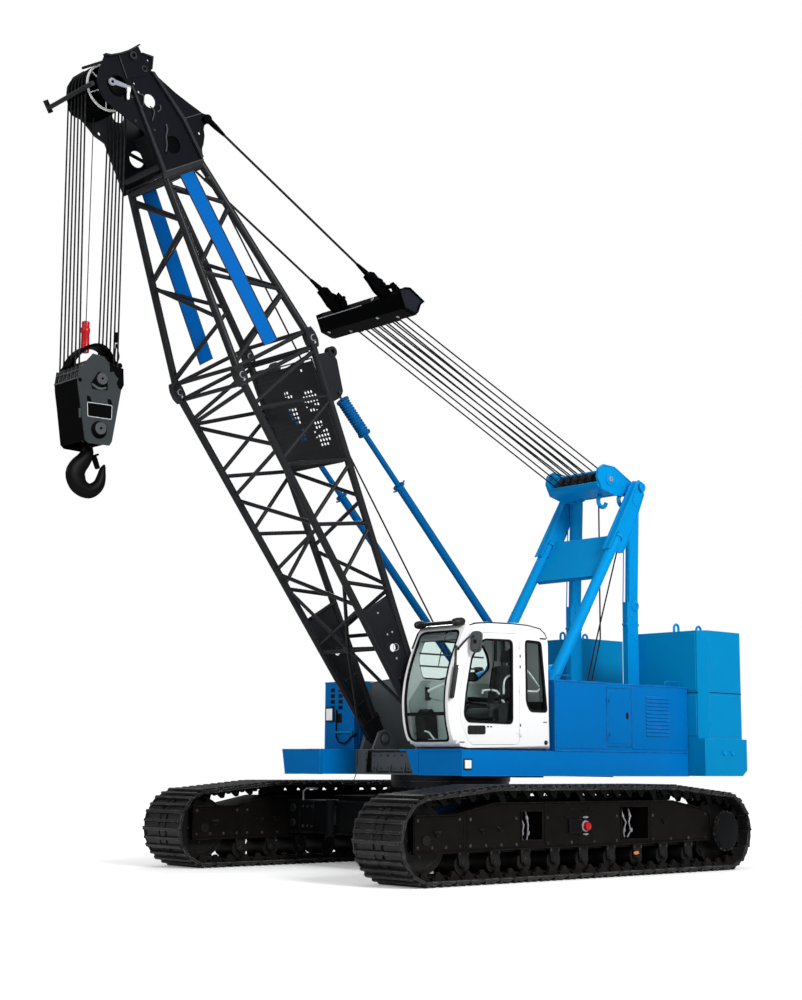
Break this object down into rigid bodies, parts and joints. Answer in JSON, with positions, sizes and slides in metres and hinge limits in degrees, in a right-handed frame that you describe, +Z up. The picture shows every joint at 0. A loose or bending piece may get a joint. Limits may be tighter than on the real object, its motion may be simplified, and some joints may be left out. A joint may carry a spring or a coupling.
{
  "type": "crawler crane",
  "caption": "Lattice-boom crawler crane with tracked base, slewing upper, side cab, house and counterweight, folding gantry, derrick ropes, backstops and multi-fall hook block.",
  "frame": {"origin": "on the ground under the slewing axis, midway between the tracks", "axes": "+Z up along the slewing axis; the boom points along -Y; +X is the crane's own left, the side the cab is on"},
  "size_m": [5.5, 11.0887, 10.4792],
  "materials": {
    "undercarriage_black": "satin",
    "track_steel": "worn satin",
    "track_frame_brown": "satin",
    "bearing_steel": "machined",
    "frame_grey": "satin",
    "house_blue": "gloss",
    "weight_blue": "gloss",
    "engine_grey": "rough",
    "winch_black": "satin",
    "cab_white": "gloss",
    "cab_glazing": "clear, slightly green",
    "interior_black": "matte",
    "boom_black": "satin",
    "board_blue": "gloss",
    "walkway_black": "matte",
    "sheave_iron": "satin",
    "pin_steel": "machined",
    "rope_steel": "laid wire",
    "hook_paint": "satin"
  },
  "bodies": {
    "undercarriage": {"carbody": "undercarriage_black", "slew_ring_lower": "bearing_steel", "track_left": "track_steel", "track_right": "track_steel", "track_frame_left": "track_frame_brown", "track_frame_right": "track_frame_brown", "track_rollers": "track_steel", "idlers": "track_steel", "sprockets": "track_steel"},
    "upper": {"slew_ring_upper": "bearing_steel", "revolving_frame": "frame_grey", "boom_foot_brackets": "frame_grey", "deck_left": "house_blue", "deck_right": "house_blue", "house_left": "house_blue", "house_right": "house_blue", "engine_block": "engine_grey", "winch_drums": "winch_black", "winch_stands": "frame_grey", "counterweight_base": "weight_blue", "counterweight_left": "weight_blue", "counterweight_right": "weight_blue", "cab_shell": "cab_white", "cab_glass": "cab_glazing", "cab_interior": "interior_black", "gantry_legs": "house_blue", "gantry_feet": "house_blue", "gantry_links": "house_blue", "gantry_top_pin": "pin_steel", "gantry_cross_plate": "house_blue", "derrick_block": "house_blue", "derrick_sheaves": "sheave_iron"},
    "house_door_left": {"house_door_left": "house_blue"},
    "house_door_right": {"house_door_right": "house_blue"},
    "cab_door": {"cab_door": "cab_white", "cab_door_glass": "cab_glazing"},
    "derrick_fall": {"derrick_falls": "rope_steel"},
    "bridle": {"bridle": "boom_black", "bridle_sheaves": "sheave_iron"},
    "pendants": {"pendants": "rope_steel"},
    "boom": {"boom_chords": "boom_black", "boom_side_lacing": "boom_black", "boom_face_lacing": "boom_black", "boom_connectors": "boom_black", "boom_foot_plates": "boom_black", "boom_walkway": "walkway_black", "boom_boards": "board_blue", "boom_head": "boom_black", "boom_head_ties": "boom_black", "boom_head_sheaves": "sheave_iron", "boom_backstop_ears": "boom_black"},
    "backstop_tubes": {"backstop_tubes": "house_blue"},
    "backstop_rods": {"backstop_rods": "house_blue"},
    "hook_fall": {"hoist_falls": "rope_steel"},
    "hook_block": {"hook_block_cheeks": "hook_paint", "hook_block_sheaves": "sheave_iron", "hook_trunnion": "pin_steel"},
    "hook": {"hook": "hook_paint"}
  },
  "joints": [
    {"name": "slew", "type": "hinge", "parent": "undercarriage", "child": "upper", "pos_m": [0, 0, 1.2225], "axis": [0, 0, 1], "continuous": true},
    {"name": "boom_luff", "type": "hinge", "parent": "upper", "child": "boom", "pos_m": [0, -0.884, 1.821], "axis": [-1, 0, 0], "range_deg": [-28.7, 19.3]},
    {"name": "derrick_fall_swing", "type": "hinge", "parent": "upper", "child": "derrick_fall", "pos_m": [0, 2.95, 5.95], "axis": [-1, 0, 0], "range_deg": [-13.91, 9.42]},
    {"name": "bridle_pull", "type": "slide", "parent": "derrick_fall", "child": "bridle", "axis": [0, 0.9233, -0.384], "range_m": [-2.6249, 1.7668], "deforming": ["derrick_falls"]},
    {"name": "pendant_swing", "type": "hinge", "parent": "bridle", "child": "pendants", "pos_m": [0, -2.06, 8.22], "axis": [-1, 0, 0], "range_deg": [-23.74, 16.03]},
    {"name": "backstop_swing", "type": "hinge", "parent": "upper", "child": "backstop_tubes", "pos_m": [0, 0.94, 2.7], "axis": [-1, 0, 0], "range_deg": [-24.62, 16.62]},
    {"name": "backstop_stroke", "type": "slide", "parent": "backstop_tubes", "child": "backstop_rods", "axis": [0, -0.7015, 0.7126], "range_m": [-0.6239, 0.9254]},
    {"name": "fall_plumb", "type": "hinge", "parent": "boom", "child": "hook_fall", "pos_m": [0, -6.2495, 9.86998], "axis": [-1, 0, 0], "range_deg": [-19.6, 29]},
    {"name": "hoist", "type": "slide", "parent": "hook_fall", "child": "hook_block", "axis": [0, 0, -1], "range_m": [-2, 4.4], "deforming": ["hoist_falls"]},
    {"name": "hook_swivel", "type": "hinge", "parent": "hook_block", "child": "hook", "pos_m": [0, -6.2495, 5.492], "axis": [0, 0, 1], "continuous": true},
    {"name": "cab_door", "type": "hinge", "parent": "upper", "child": "cab_door", "pos_m": [1.606, -0.218, 2.5], "axis": [0, 0, 1], "range_deg": [0, 95]},
    {"name": "house_door_left", "type": "hinge", "parent": "upper", "child": "house_door_left", "pos_m": [1.606, 1.603, 2.15], "axis": [0, 0, -1], "range_deg": [0, 110]},
    {"name": "house_door_right", "type": "hinge", "parent": "upper", "child": "house_door_right", "pos_m": [-1.606, 1.603, 2.15], "axis": [0, 0, 1], "range_deg": [0, 110]}
  ],
  "couplings": [
    {"joint": "derrick_fall_swing", "follows": "boom_luff", "ratio": 0.47779},
    {"joint": "bridle_pull", "follows": "boom_luff", "m_per_rad": 5.2302},
    {"joint": "pendant_swing", "follows": "boom_luff", "ratio": 0.82035},
    {"joint": "backstop_swing", "follows": "boom_luff", "ratio": 0.85072},
    {"joint": "backstop_stroke", "follows": "boom_luff", "m_per_rad": -1.8374},
    {"joint": "fall_plumb", "follows": "boom_luff", "ratio": -1}
  ]
}
